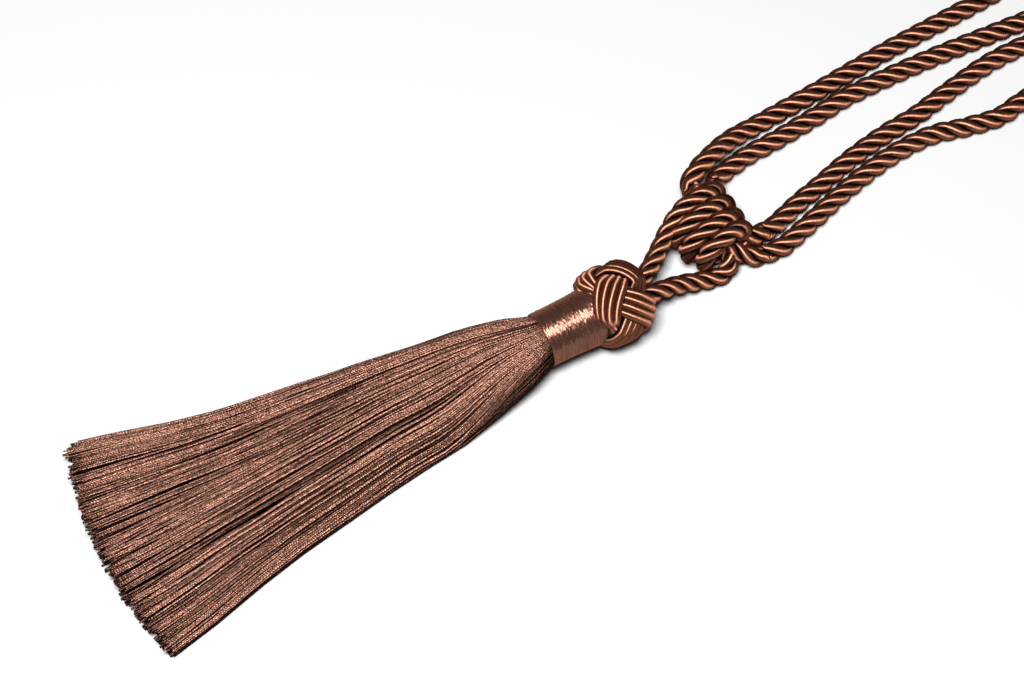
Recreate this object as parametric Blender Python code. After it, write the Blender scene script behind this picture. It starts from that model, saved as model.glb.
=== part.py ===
"""Curtain tieback tassel lying on a table.

A fanned skirt of yarn hangs from a bundle bound with thread.  A woven ball of cord caps the binding.
A twisted rope leaves the ball in two legs and is wound into a slip knot round a doubled rope, whose
two ends go out as long loops that hook on the wall.

+X runs along the tassel from its skirt to its loops, +Y is to the left and +Z is up.  The origin is
on the table, under the woven ball.
"""
import math
import random

import bmesh
import bpy
from mathutils import Vector

MM = 0.001

# Air left between neighbouring pieces.
GAP = 0.0003
ROPE_END_GAP = 0.0005
MERGE = 0.000001  # corners this close are one

# Height of the tassel's axis over the table, and the table itself.
AXIS_Z = 0.0156
TABLE_Z = 0.0

# Twisted rope: three strands, so one full turn of the twist shows three crests.
ROPE_DIAMETER = 0.0091
ROPE_PITCH = 0.0205
STRANDS_IN_ROPE = 3
GROOVE = 0.72  # radius of the groove between two strands, as a share of the crest's
SECTIONS_PER_TURN = 6
STRAIGHT_LEAD = 0.0040  # an arm starts off straight for this length
KNOT_ROPE_DIAMETER = 0.0074  # the same rope, pressed thinner where it is wound tight

# Woven ball.
BALL_CENTRE_X = 0.0007
BALL_CENTRE_Y = -0.0003
BALL_CENTRE_Z = 0.0170
BALL_RADIUS = 0.0185
BALL_HALF_LENGTH = 0.0160
NECK_SIDE_FULLNESS = 4.0  # exponents of the ball's outline: square-shouldered at the neck,
LEG_SIDE_FULLNESS = 2.3  # nearly round at the legs
BAND_TRIPS = 3  # times the band goes round the ball before it closes
BAND_BIGHTS = 4  # bends at each end of the ball
BAND_SWING = 0.0137  # how far the band swings from the equator, along the surface
BAND_CORDS = 4
BAND_CORD_PITCH = 0.00375
BAND_THICKNESS = 0.0033
BAND_PHASE = math.radians(34.3)
BAND_SECTIONS = 60

# Thread binding round the yarn bundle.
NECK_Y = -0.0005
NECK_END_X = -0.0106  # where the ball is cut flat for the neck
SKIRT_END_X = -0.0375
BUNDLE_RADIUS = 0.0110
BINDING_BORE = BUNDLE_RADIUS + 0.00035
NECK_PROFILE = (  # share of the binding's length from the skirt, outer radius in mm
    (0.00, 12.35),
    (0.02, 12.65),
    (0.35, 12.6),
    (0.70, 12.95),
    (0.95, 13.45),
    (1.00, 13.15),
)

# Skirt of yarn locks.
SKIRT_LENGTH = 0.2099
LOCK_COLUMNS = 38
LOCK_ROWS = 4
LOCK_FILL = 0.80  # share of its cell that a lock takes up
LOCK_CREST = 0.55  # width of a lock's top over that of its base
LOCK_STATIONS = (0.0090, 0.0360, 0.1250)
SETTLED_AT = 0.060  # distance from the neck where the skirt lies flat on the table
END_BOW = 0.0094  # how much shorter the locks at the two sides are
END_SLANT = 0.0025  # and how much shorter on the left than in the middle
RAGGED = 0.0025
SIDE_HEIGHT = 0.0048
SKIRT_DRIFT = (  # mm: distance from the neck, how far the skirt's middle lies to the left
    (0, -0.5),
    (8, -0.3),
    (16, 0.6),
    (26, 1.9),
    (45, 3.2),
    (75, 4.4),
    (105, 4.0),
    (145, 3.5),
    (185, 4.0),
    (213, 4.6),
)
SKIRT_SHAPE = (  # mm: distance from the neck, half width, height at the middle
    (0, 11.0, 22.0),
    (6, 15.2, 24.6),
    (15, 18.4, 25.4),
    (27, 22.0, 25.2),
    (39, 25.0, 24.4),
    (60, 28.7, 22.2),
    (80, 30.8, 20.8),
    (99, 34.0, 19.4),
    (135, 39.4, 17.2),
    (159, 44.8, 16.0),
    (183, 51.6, 15.0),
    (213, 58.4, 13.6),
)

# Slip knot: four turns round the doubled rope.
KNOT_TURNS = 4
KNOT_FIRST_Y = 0.0250
KNOT_TURN_PITCH = 0.0078
KNOT_TURN_LEAN = 0.0076  # each turn's far side lies this much nearer the upper arm
KNOT_HALF_HEIGHT = 0.0086
KNOT_Z = KNOT_HALF_HEIGHT + KNOT_ROPE_DIAMETER / 2 + 0.0001
KNOT_FAR_X = 0.0697
KNOT_NEAR_X = (0.0432, 0.0422, 0.0424, 0.0465, 0.0505)  # the near side of each turn
KNOT_SECTIONS_PER_TURN = 12
FIRST_TURN_FROM = 0.125  # share of a turn where the upper leg joins
LAST_TURN_TO = 3.80
KNOT_CORE_CENTRE = (0.0567, 0.0155, KNOT_Z)
KNOT_CORE_SIZE = (0.0225, 0.0330, 0.0160)

# Routes of the rope's centre line, in mm: x, y, z.
LEG_UPPER = (
    (10.0, 2.0, 16.4),
    (18.0, 5.5, 16.2),
    (26.0, 11.1, 15.2),
    (33.0, 16.6, 14.4),
    (39.5, 21.4, 15.2),
)
LEG_LOWER = (
    (9.0, -3.0, 16.0),
    (17.0, -3.2, 15.0),
    (25.0, -2.5, 12.4),
    (33.4, -2.5, 9.2),
    (41.6, -3.7, 6.6),
    (49.5, -4.8, 4.9),
    (56.0, -3.8, 5.2),
    (59.2, 0.6, 7.6),
    (59.4, 6.0, 10.4),
    (58.0, 12.0, 12.6),
)
THROUGH_NEAR = (
    (60.2, 36.0, 11.6),
    (58.6, 31.0, 12.4),
    (55.6, 25.0, 12.6),
    (54.5, 17.0, 12.6),
    (56.6, 9.0, 12.0),
    (61.0, 3.0, 9.8),
    (65.6, -1.6, 7.0),
    (70.2, -4.2, 5.4),
    (74.2, -4.7, 5.2),
)
THROUGH_FAR = (
    (72.6, 36.2, 7.9),
    (68.4, 31.0, 10.6),
    (64.0, 24.5, 12.4),
    (62.6, 17.0, 12.6),
    (65.0, 9.5, 12.4),
    (70.5, 4.4, 10.8),
    (75.0, 3.4, 9.2),
    (78.8, 3.9, 8.2),
)
ARM_UPPER = (
    (68.2, 44.4, 12.0),
    (76.0, 47.8, 11.4),
    (85.6, 51.7, 9.4),
    (94.6, 54.2, 7.3),
    (102.7, 55.3, 5.8),
    (111.5, 56.4, 4.8),
    (124.0, 57.4, 4.6),
    (145.4, 59.0, 4.6),
    (182.3, 62.3, 4.6),
    (232.4, 64.9, 4.6),
    (280.0, 68.6, 4.6),
    (330.0, 73.0, 4.6),
    (366.0, 75.2, 4.6),
    (387.0, 71.5, 4.6),
    (397.0, 56.8, 4.6),
    (387.0, 42.0, 4.6),
    (366.0, 38.6, 4.6),
    (330.0, 39.8, 4.6),
    (285.0, 43.0, 4.6),
    (244.4, 45.4, 4.6),
    (195.4, 48.8, 4.6),
    (153.5, 49.5, 4.6),
    (133.5, 47.2, 4.6),
    (109.6, 44.9, 4.6),
    (96.0, 44.2, 4.7),
    (85.0, 42.1, 5.2),
)
ARM_LOWER = (
    (88.5, 6.5, 5.7),
    (96.0, 9.3, 4.8),
    (104.0, 11.8, 4.6),
    (114.0, 14.2, 4.6),
    (134.8, 19.8, 4.6),
    (155.0, 23.5, 4.6),
    (173.0, 25.3, 4.6),
    (193.0, 29.3, 4.6),
    (218.0, 33.5, 4.6),
    (240.0, 33.9, 4.6),
    (270.0, 32.4, 4.6),
    (310.0, 28.4, 4.6),
    (345.0, 25.6, 4.6),
    (368.0, 23.6, 4.6),
    (385.0, 17.4, 4.6),
    (391.5, 5.6, 4.6),
    (384.0, -7.2, 4.6),
    (366.0, -12.6, 4.6),
    (338.0, -9.2, 4.6),
    (300.0, -1.8, 4.6),
    (262.0, 5.6, 4.6),
    (238.0, 8.8, 4.6),
    (221.0, 8.6, 4.6),
    (205.7, 6.3, 4.6),
    (189.0, 9.1, 4.6),
    (172.1, 13.0, 4.6),
    (148.4, 12.0, 4.6),
    (122.1, 6.2, 4.6),
    (103.8, 0.6, 4.6),
    (91.0, -3.2, 4.6),
    (84.5, -5.0, 4.65),
)

COLOURS = {  # base colour, roughness
    "rope": ((0.085, 0.030, 0.017), 0.42),
    "ball_cord": ((0.075, 0.026, 0.015), 0.42),
    "binding_thread": ((0.150, 0.058, 0.034), 0.32),
    "skirt_yarn": ((0.180, 0.082, 0.052), 0.60),
}


def clear_scene():
    for old in list(bpy.data.objects):
        bpy.data.objects.remove(old, do_unlink=True)


def collection(name):
    made = bpy.data.collections.new(name)
    bpy.context.scene.collection.children.link(made)
    return made


def material(name):
    colour, roughness = COLOURS[name]
    made = bpy.data.materials.new(name)
    made.use_nodes = True
    shader = made.node_tree.nodes["Principled BSDF"]
    shader.inputs["Base Color"].default_value = (*colour, 1.0)
    shader.inputs["Roughness"].default_value = roughness
    shader.inputs["Metallic"].default_value = 0.0
    return made


def add_part(name, mesh, finish):
    part = bpy.data.objects.new(name, mesh)
    mesh.materials.clear()
    mesh.materials.append(finish)
    PARTS.objects.link(part)
    return part


def add_guide(name, data):
    """A cutter, a piece to be joined or a curve's section: it isn't a part of its own."""
    guide = bpy.data.objects.new(name, data)
    guide.hide_render = True
    guide.display_type = "WIRE"
    GUIDES.objects.link(guide)
    return guide


def boolean(part, guide, operation):
    step = part.modifiers.new(guide.name, "BOOLEAN")
    step.operation = operation
    step.solver = "EXACT"
    step.use_self = operation == "UNION"
    step.object = guide


def largest_shell(work):
    """The faces of the biggest closed surface in a mesh."""
    unseen = set(work.faces)
    best = set()
    while unseen:
        edge_of = [unseen.pop()]
        shell = set(edge_of)
        while edge_of:
            for edge in edge_of.pop().edges:
                for face in edge.link_faces:
                    if face in unseen:
                        unseen.discard(face)
                        shell.add(face)
                        edge_of.append(face)
        if len(shell) > len(best):
            best = shell
    return best


def settle_booleans(part):
    """Applies the part's Booleans and fills the small voids that they leave inside."""
    evaluated = part.evaluated_get(bpy.context.evaluated_depsgraph_get())
    mesh = bpy.data.meshes.new_from_object(evaluated)
    work = bmesh.new()
    work.from_mesh(mesh)
    bmesh.ops.remove_doubles(work, verts=work.verts, dist=MERGE)
    bmesh.ops.dissolve_degenerate(work, edges=work.edges, dist=MERGE)
    kept = largest_shell(work)
    loose = [face for face in work.faces if face not in kept]
    bmesh.ops.delete(work, geom=loose, context="FACES")
    work.to_mesh(mesh)
    work.free()
    part.modifiers.clear()
    part.data = mesh


def interpolate(rows, x, column):
    """A table's column at x, smooth between the rows."""
    for low, high in zip(rows, rows[1:]):
        if x <= high[0]:
            share = max(0.0, (x - low[0]) / (high[0] - low[0]))
            return low[column] + share * (high[column] - low[column])
    return rows[-1][column]


def smooth_step(share):
    share = min(1.0, max(0.0, share))
    return share * share * (3.0 - 2.0 * share)


# ---- rope ---------------------------------------------------------------------------------------


def smooth_route(points, step):
    """Evenly spaced points on the Catmull-Rom curve through the given ones."""
    knots = [2 * points[0] - points[1], *points, 2 * points[-1] - points[-2]]
    samples = 24
    fine = [points[0]]
    for before, start, end, after in zip(knots, knots[1:], knots[2:], knots[3:]):
        for i in range(1, samples + 1):
            t = i / samples
            fine.append(
                0.5 * (2 * start + (end - before) * t)
                + 0.5 * (2 * before - 5 * start + 4 * end - after) * t**2
                + 0.5 * (3 * start - before - 3 * end + after) * t**3
            )
    reach = [0.0]
    for a, b in zip(fine, fine[1:]):
        reach.append(reach[-1] + (b - a).length)
    count = max(2, round(reach[-1] / step))
    route = []
    j = 0
    for i in range(count + 1):
        wanted = reach[-1] * i / count
        while j < len(reach) - 2 and reach[j + 1] < wanted:
            j += 1
        share = (wanted - reach[j]) / (reach[j + 1] - reach[j])
        route.append(fine[j].lerp(fine[j + 1], min(1.0, share)))
    return route


def in_metres(rows):
    return [Vector(row) * MM for row in rows]


def rope_section():
    """The rope's outline across: one crest and one groove for each strand."""
    outline = bpy.data.curves.new("rope_section", "CURVE")
    outline.dimensions = "2D"
    spline = outline.splines.new("POLY")
    corners = 2 * STRANDS_IN_ROPE
    spline.points.add(corners - 1)
    for i in range(corners):
        radius = ROPE_DIAMETER / 2 * (1.0 if i % 2 == 0 else GROOVE)
        angle = -math.tau * i / corners
        spline.points[i].co = (radius * math.cos(angle), radius * math.sin(angle), 0.0, 1.0)
    spline.use_cyclic_u = True
    return add_guide("rope_section", outline)


def rope_mesh(name, points, diameter=ROPE_DIAMETER):
    """A closed mesh of twisted rope along the points, with the twist right-handed."""
    thin = diameter / ROPE_DIAMETER
    route = smooth_route(points, ROPE_PITCH * thin / SECTIONS_PER_TURN)
    curve = bpy.data.curves.new(name, "CURVE")
    curve.dimensions = "3D"
    curve.bevel_mode = "OBJECT"
    curve.bevel_object = SECTION
    curve.use_fill_caps = True
    spline = curve.splines.new("POLY")
    spline.points.add(len(route) - 1)
    for i, place in enumerate(route):
        spline.points[i].co = (*place, 1.0)
        spline.points[i].radius = thin
        spline.points[i].tilt = math.tau / SECTIONS_PER_TURN * i
    holder = bpy.data.objects.new(name, curve)
    bpy.context.scene.collection.objects.link(holder)
    evaluated = holder.evaluated_get(bpy.context.evaluated_depsgraph_get())
    mesh = bpy.data.meshes.new_from_object(evaluated)
    bpy.data.objects.remove(holder)
    bpy.data.curves.remove(curve)
    work = bmesh.new()
    work.from_mesh(mesh)
    bmesh.ops.remove_doubles(work, verts=work.verts, dist=1e-6)
    work.to_mesh(mesh)
    work.free()
    return mesh


def joined(name, meshes):
    work = bmesh.new()
    for mesh in meshes:
        work.from_mesh(mesh)
    whole = bpy.data.meshes.new(name)
    work.to_mesh(whole)
    work.free()
    return whole


# ---- shapes made of rings -----------------------------------------------------------------------


def skin(work, near, far):
    """Faces from one ring of corners to the next."""
    corners = len(near)
    for i in range(corners):
        j = (i + 1) % corners
        work.faces.new((near[i], near[j], far[j], far[i]))


def add_loft(work, rings, closed=False):
    """Skins a row of rings of points; a closed loft joins its last ring to its first."""
    loops = [[work.verts.new(point) for point in ring] for ring in rings]
    pairs = list(zip(loops, loops[1:]))
    if closed:
        pairs.append((loops[-1], loops[0]))
    else:
        work.faces.new(list(reversed(loops[0])))
        work.faces.new(loops[-1])
    for near, far in pairs:
        skin(work, near, far)


def turned_mesh(name, outline, segments, ends_on_axis, y, z):
    """A solid of revolution round a line along X, from (x, radius) points."""
    work = bmesh.new()
    corners = [work.verts.new((x, 0.0, radius)) for x, radius in outline]
    edges = [work.edges.new(pair) for pair in zip(corners, corners[1:])]
    if not ends_on_axis:
        edges.append(work.edges.new((corners[-1], corners[0])))
    bmesh.ops.spin(
        work,
        geom=corners + edges,
        cent=(0.0, 0.0, 0.0),
        axis=(1.0, 0.0, 0.0),
        angle=math.tau,
        steps=segments,
        use_merge=True,
    )
    bmesh.ops.remove_doubles(work, verts=work.verts, dist=1e-6)
    bmesh.ops.recalc_face_normals(work, faces=work.faces)
    bmesh.ops.translate(work, verts=work.verts, vec=(0.0, y, z))
    mesh = bpy.data.meshes.new(name)
    work.to_mesh(mesh)
    work.free()
    return mesh


# ---- skirt --------------------------------------------------------------------------------------


def skirt_point(distance, across, up):
    """A point of the skirt's body: across and up go from -1 to 1.

    The section is round where it leaves the neck, and a low dome on the table further out.
    """
    row = max(0.0, distance) / MM
    half_width = interpolate(SKIRT_SHAPE, row, 1) * MM
    height = interpolate(SKIRT_SHAPE, row, 2) * MM
    settled = smooth_step(distance / SETTLED_AT)
    round_y = half_width * across * math.sqrt(1.0 - up * up / 2.0)
    round_z = AXIS_Z + height / 2.0 * up * math.sqrt(1.0 - across * across / 2.0)
    dome = SIDE_HEIGHT + (height - SIDE_HEIGHT) * (1.0 - abs(across) ** 2.2)
    flat_y = half_width * across
    flat_z = dome * (up + 1.0) / 2.0
    drift = interpolate(SKIRT_DRIFT, row, 1) * MM
    return Vector(
        (
            SKIRT_END_X - distance,
            round_y + settled * (flat_y - round_y) + drift,
            TABLE_Z + round_z + settled * (flat_z - round_z),
        )
    )


def lock_rings(column, row, rng):
    """Sections of one lock of yarn beyond its root, each with its wide side down."""
    wide, tall = 2.0 / LOCK_COLUMNS, 2.0 / LOCK_ROWS
    middle = -1.0 + wide * (column + 0.5)
    bottom = -1.0 + tall * row
    length = SKIRT_LENGTH - END_SLANT * middle - END_BOW * middle * middle
    length += rng.uniform(-RAGGED, RAGGED)
    stagger = wide * (0.25 if row % 2 else -0.25)
    rings = []
    for distance in (*LOCK_STATIONS, length):
        across = middle + stagger * smooth_step(distance / SETTLED_AT)
        half = wide / 2.0 * LOCK_FILL * rng.uniform(0.88, 1.0)
        top = bottom + tall * LOCK_FILL * rng.uniform(0.92, 1.10)
        crest = half * LOCK_CREST
        ridge = across + half * rng.uniform(-0.25, 0.25)
        rings.append(
            (
                skirt_point(distance, across - half, bottom),
                skirt_point(distance, across + half, bottom),
                skirt_point(distance, ridge + crest, top),
                skirt_point(distance, ridge - crest, top),
            )
        )
    return rings


def build_skirt():
    """The locks grow out of the cells of a grid that fills the end of the bundle."""
    rng = random.Random(7)
    work = bmesh.new()
    root = {}
    for i in range(LOCK_COLUMNS + 1):
        for j in range(LOCK_ROWS + 1):
            across, up = 2.0 * i / LOCK_COLUMNS - 1.0, 2.0 * j / LOCK_ROWS - 1.0
            root[i, j] = work.verts.new(skirt_point(0.0, across, up))
    for row in range(LOCK_ROWS):
        for column in range(LOCK_COLUMNS):
            near = [
                root[column, row],
                root[column + 1, row],
                root[column + 1, row + 1],
                root[column, row + 1],
            ]
            for ring in lock_rings(column, row, rng):
                far = [work.verts.new(point) for point in ring]
                skin(work, near, far)
                near = far
            work.faces.new(near)
    rim = [root[i, 0] for i in range(LOCK_COLUMNS)]
    rim += [root[LOCK_COLUMNS, j] for j in range(LOCK_ROWS)]
    rim += [root[i, LOCK_ROWS] for i in range(LOCK_COLUMNS, 0, -1)]
    rim += [root[0, j] for j in range(LOCK_ROWS, 0, -1)]
    head = [work.verts.new((NECK_END_X - GAP, corner.co.y, corner.co.z)) for corner in rim]
    skin(work, rim, head)
    work.faces.new(head)
    bmesh.ops.recalc_face_normals(work, faces=work.faces)
    mesh = bpy.data.meshes.new("tassel_skirt")
    work.to_mesh(mesh)
    work.free()
    add_part("tassel_skirt", mesh, material("skirt_yarn"))


def build_binding():
    length = NECK_END_X - GAP - SKIRT_END_X
    outer = [(SKIRT_END_X + share * length, radius * MM) for share, radius in NECK_PROFILE]
    bore = [(outer[-1][0], BINDING_BORE), (outer[0][0], BINDING_BORE)]
    mesh = turned_mesh("neck_binding", outer + bore, 32, False, NECK_Y, AXIS_Z)
    add_part("neck_binding", mesh, material("binding_thread"))


# ---- woven ball ---------------------------------------------------------------------------------


def ball_outline():
    """The ball's outline as (distance along it from the equator, x, radius), end to end."""
    steps = 60
    points = []
    for i in range(-steps, steps + 1):
        angle = math.pi / 2 * i / steps
        power = 2.0 / (NECK_SIDE_FULLNESS if i < 0 else LEG_SIDE_FULLNESS)
        x = math.copysign(BALL_HALF_LENGTH * abs(math.sin(angle)) ** power, angle)
        points.append((x, BALL_RADIUS * max(0.0, math.cos(angle)) ** power))
    reach = [0.0]
    for (x0, r0), (x1, r1) in zip(points, points[1:]):
        reach.append(reach[-1] + math.hypot(x1 - x0, r1 - r0))
    middle = reach[steps]
    return [(d - middle, x, r) for d, (x, r) in zip(reach, points)]


def on_ball(outline, along, angle, lift):
    """A point at a distance along the outline and an angle round the axis, lifted off the surface."""
    x, radius = interpolate(outline, along, 1), interpolate(outline, along, 2)
    step = 0.0004
    slope_x = interpolate(outline, along + step, 1) - interpolate(outline, along - step, 1)
    slope_r = interpolate(outline, along + step, 2) - interpolate(outline, along - step, 2)
    size = math.hypot(slope_x, slope_r)
    x -= lift * slope_r / size
    radius = max(0.0002, radius + lift * slope_x / size)
    return Vector(
        (
            BALL_CENTRE_X + x,
            BALL_CENTRE_Y + radius * math.cos(angle),
            BALL_CENTRE_Z + radius * math.sin(angle),
        )
    )


def band_outline():
    """The band across: a flat underside and one ridge for each cord, as (across, lift)."""
    half = BAND_CORDS * BAND_CORD_PITCH / 2
    dip = BAND_THICKNESS * 0.32
    points = [(half * 0.97, -BAND_THICKNESS)]
    for i in range(2 * BAND_CORDS - 1):
        across = half - BAND_CORD_PITCH / 2 * (i + 1)
        points.append((across, 0.0 if i % 2 == 0 else -dip))
    points.append((-half * 0.97, -BAND_THICKNESS))
    return points


def band_rings(outline):
    """The woven band: it swings to and fro as it goes round, over and under itself in turn."""
    rings = []
    for i in range(BAND_SECTIONS):
        t = math.tau * i / BAND_SECTIONS
        swing = BAND_BIGHTS * t
        angle = BAND_TRIPS * t + BAND_PHASE
        along = BAND_SWING * math.sin(swing)
        radius = interpolate(outline, along, 2)
        rate_along = BAND_SWING * BAND_BIGHTS * math.cos(swing)
        rate_round = BAND_TRIPS * radius
        rate = math.hypot(rate_along, rate_round)
        over = max(-1.0, min(1.0, 2.0 * math.sin(2.0 * swing)))
        sink = BAND_THICKNESS * 0.52 * (over - 1.0)
        ring = []
        for across, lift in band_outline():
            place = along + across * rate_round / rate
            there = max(0.004, interpolate(outline, place, 2))
            turn = angle - across * rate_along / rate / (0.5 * (there + radius))
            ring.append(on_ball(outline, place, turn, lift + sink))
        rings.append(ring)
    return rings


def build_ball():
    outline = ball_outline()
    core = []
    for along, _, _ in outline[::10]:
        point = on_ball(outline, along, 0.0, -BAND_THICKNESS * 1.12)
        core.append((point.x, point.y - BALL_CENTRE_Y))
    core[0] = (core[0][0], 0.0)
    core[-1] = (core[-1][0], 0.0)
    mesh = turned_mesh("head_knot", core, 14, True, BALL_CENTRE_Y, BALL_CENTRE_Z)
    ball = add_part("head_knot", mesh, material("ball_cord"))
    work = bmesh.new()
    add_loft(work, band_rings(outline), closed=True)
    bmesh.ops.recalc_face_normals(work, faces=work.faces)
    band = bpy.data.meshes.new("woven_band")
    work.to_mesh(band)
    work.free()
    boolean(ball, add_guide("woven_band", band), "UNION")
    size = 0.06
    boolean(ball, add_box("table", (0.0, 0.0, TABLE_Z - size / 2), size), "DIFFERENCE")
    boolean(ball, add_box("neck_face", (NECK_END_X - size / 2, 0.0, AXIS_Z), size), "DIFFERENCE")
    settle_booleans(ball)


def add_box(name, centre, size):
    work = bmesh.new()
    bmesh.ops.create_cube(work, size=size)
    mesh = bpy.data.meshes.new(name)
    work.to_mesh(mesh)
    work.free()
    box = add_guide(name, mesh)
    box.location = centre
    return box


def add_ball_guide(name, centre, size):
    work = bmesh.new()
    bmesh.ops.create_uvsphere(work, u_segments=20, v_segments=14, radius=1.0)
    bmesh.ops.scale(work, vec=size, verts=work.verts)
    mesh = bpy.data.meshes.new(name)
    work.to_mesh(mesh)
    work.free()
    ball = add_guide(name, mesh)
    ball.location = centre
    return ball


# ---- slip knot and arms -------------------------------------------------------------------------


def knot_turn(turn):
    """The rope's centre on the winding after a number of turns; it starts on the near side."""
    angle = math.pi - math.tau * turn
    whole = min(int(turn), KNOT_TURNS - 1)
    near = KNOT_NEAR_X[whole] + (turn - whole) * (KNOT_NEAR_X[whole + 1] - KNOT_NEAR_X[whole])
    middle, half = (KNOT_FAR_X + near) / 2, (KNOT_FAR_X - near) / 2
    lean = KNOT_TURN_LEAN * (1.0 + math.cos(angle)) / 2
    return Vector(
        (
            middle + half * math.cos(angle),
            KNOT_FIRST_Y - KNOT_TURN_PITCH * turn + lean,
            KNOT_Z + KNOT_HALF_HEIGHT * math.sin(angle),
        )
    )


def knot_winding():
    count = round((LAST_TURN_TO - FIRST_TURN_FROM) * KNOT_SECTIONS_PER_TURN)
    step = (LAST_TURN_TO - FIRST_TURN_FROM) / count
    return [knot_turn(FIRST_TURN_FROM + step * i) for i in range(count + 1)]


def build_knot():
    upper = in_metres(LEG_UPPER) + knot_winding()
    ropes = [
        rope_mesh("upper_leg", upper, KNOT_ROPE_DIAMETER),
        rope_mesh("lower_leg", in_metres(LEG_LOWER), KNOT_ROPE_DIAMETER),
        rope_mesh("through_near", in_metres(THROUGH_NEAR)),
        rope_mesh("through_far", in_metres(THROUGH_FAR)),
    ]
    work = bmesh.new()
    bmesh.ops.create_uvsphere(work, u_segments=16, v_segments=10, radius=0.5)
    bmesh.ops.scale(work, vec=KNOT_CORE_SIZE, verts=work.verts)
    bmesh.ops.translate(work, vec=KNOT_CORE_CENTRE, verts=work.verts)
    core = bpy.data.meshes.new("slip_knot")
    work.to_mesh(core)
    work.free()
    knot = add_part("slip_knot", core, material("rope"))
    boolean(knot, add_guide("knot_ropes", joined("knot_ropes", ropes)), "UNION")
    ball_size = (BALL_HALF_LENGTH + GAP, BALL_RADIUS + GAP, BALL_RADIUS + GAP)
    centre = (BALL_CENTRE_X, BALL_CENTRE_Y, BALL_CENTRE_Z)
    clear = add_ball_guide("ball_clearance", centre, ball_size)
    boolean(knot, clear, "DIFFERENCE")
    settle_booleans(knot)


def off_end(route):
    """The line on past the end of a route: a gap away from it, and straight for a little."""
    last, before = Vector(route[0]) * MM, Vector(route[1]) * MM
    direction = (last - before).normalized()
    return [last + direction * ROPE_END_GAP, last + direction * (ROPE_END_GAP + STRAIGHT_LEAD)]


def build_arm(name, start, points, end):
    route = [*off_end(start), *in_metres(points), *reversed(off_end(end))]
    add_part(name, rope_mesh(name, route), material("rope"))


clear_scene()
PARTS = collection("curtain_tieback_tassel")
GUIDES = collection("cutters_and_guides")
SECTION = rope_section()

build_skirt()
build_binding()
build_ball()
build_knot()
build_arm(
    "arm_upper",
    (THROUGH_NEAR[0], THROUGH_NEAR[1]),
    ARM_UPPER,
    (THROUGH_FAR[0], THROUGH_FAR[1]),
)
build_arm(
    "arm_lower",
    (THROUGH_FAR[-1], THROUGH_FAR[-2]),
    ARM_LOWER,
    (THROUGH_NEAR[-1], THROUGH_NEAR[-2]),
)
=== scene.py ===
"""Looks of the curtain tieback tassel: twisted rope, woven ball, whipped neck and yarn skirt."""

import math

import bpy
import numpy as np
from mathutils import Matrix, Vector


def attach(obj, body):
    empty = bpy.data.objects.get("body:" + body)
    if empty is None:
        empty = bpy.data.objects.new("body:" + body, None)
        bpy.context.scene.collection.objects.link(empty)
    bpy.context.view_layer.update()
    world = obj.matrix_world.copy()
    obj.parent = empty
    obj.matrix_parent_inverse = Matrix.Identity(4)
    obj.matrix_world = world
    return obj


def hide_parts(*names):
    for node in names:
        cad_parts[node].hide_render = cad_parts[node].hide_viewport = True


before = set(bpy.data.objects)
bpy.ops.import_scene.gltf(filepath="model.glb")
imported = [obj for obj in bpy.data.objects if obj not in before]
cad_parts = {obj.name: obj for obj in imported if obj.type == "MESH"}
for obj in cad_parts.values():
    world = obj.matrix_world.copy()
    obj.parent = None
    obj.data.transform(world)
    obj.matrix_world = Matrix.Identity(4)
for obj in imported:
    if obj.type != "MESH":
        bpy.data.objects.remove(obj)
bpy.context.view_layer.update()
MM = 0.001
GAP = 0.0003

# ---- sizes, the same as the solids' but for the rope's twist and its thickness in the knot ----------

AXIS_Z = 0.0156
ROPE_DIAMETER = 0.0091
ROPE_PITCH = 0.0230
KNOT_ROPE_DIAMETER = 0.0086
STRANDS = 3
STRAND_RADIUS = 0.245  # as a share of the rope's diameter
STRAND_SPREAD = 1.06  # a strand is this much wider than high, so that it meets the next one
ROPE_CORNERS = 14
ROUTE_STEP = 0.0008
ARM_LEAD = 0.0045  # an arm goes straight on from the knot for this length

BALL_CENTRE_X = 0.0007
BALL_CENTRE_Y = -0.0003
BALL_CENTRE_Z = 0.0170
BALL_RADIUS = 0.0185
BALL_HALF_LENGTH = 0.0160
NECK_SIDE_FULLNESS = 4.0  # exponents of the ball's outline: square-shouldered at the neck,
LEG_SIDE_FULLNESS = 2.3  # nearly round at the legs
BAND_TRIPS = 3  # times the band goes round the ball before it closes
BAND_BIGHTS = 4  # bends at each end of the ball
BAND_SWING = 0.0137  # how far the band swings from the equator, along the surface
BAND_CORDS = 4
BAND_CORD_PITCH = 0.00375
BAND_THICKNESS = 0.0033
BAND_PHASE = math.radians(34.3)
BAND_POINTS = 720
BAND_CORD_RADIUS = 0.00196
BAND_SINK = 0.52  # how deep the band dives under itself, as a share of its thickness
CORE_SHORTER = 0.0037  # the core ends this far inside the ball
CORE_THINNER = 0.0040

NECK_Y = -0.0005
NECK_END_X = -0.0106  # where the ball is cut flat for the neck
SKIRT_END_X = -0.0375
NECK_PROFILE = (  # share of the binding's length from the skirt, outer radius in mm
    (0.00, 12.35),
    (0.02, 12.65),
    (0.35, 12.6),
    (0.70, 12.95),
    (0.95, 13.45),
    (1.00, 13.15),
)
NECK_GIRTH = 0.0785
THREAD_TURNS = 64
RINGS_A_TURN = 4
NECK_CORNERS = 96
THREAD_INSET = 0.00022
THREAD_RIDGE = 0.00020

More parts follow.
